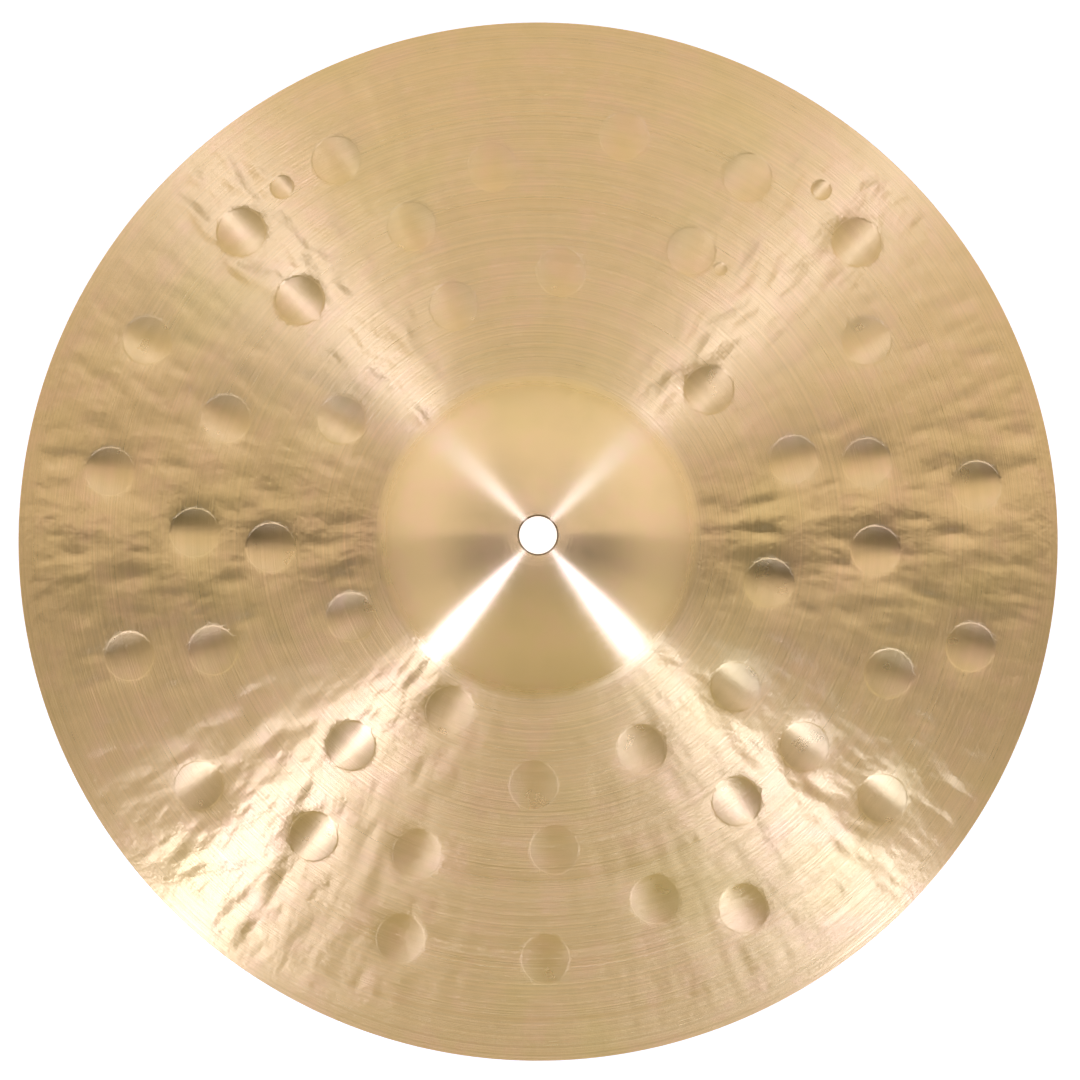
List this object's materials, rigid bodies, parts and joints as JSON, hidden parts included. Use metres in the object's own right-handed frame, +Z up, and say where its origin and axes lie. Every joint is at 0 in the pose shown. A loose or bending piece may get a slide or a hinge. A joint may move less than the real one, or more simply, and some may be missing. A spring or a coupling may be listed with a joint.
{
  "type": "hammered cymbal",
  "caption": "Round hammered and lathed bronze cymbal with a raised bell and a mounting hole at its centre; it is struck, or clashed with a second one, to sound.",
  "frame": {"origin": "on the cymbal's axis, in the plane that the rim stands on", "axes": "+Z up through the bell; +X and +Y across the rim, which is round, so they are set only by the places of the hammer marks"},
  "size_m": [0.3556, 0.3556, 0.0391],
  "materials": {
    "bronze": "lathed, with fine concentric tool lines and dished hammer marks"
  },
  "bodies": {
    "root": {"cymbal": "bronze"}
  },
  "joints": []
}
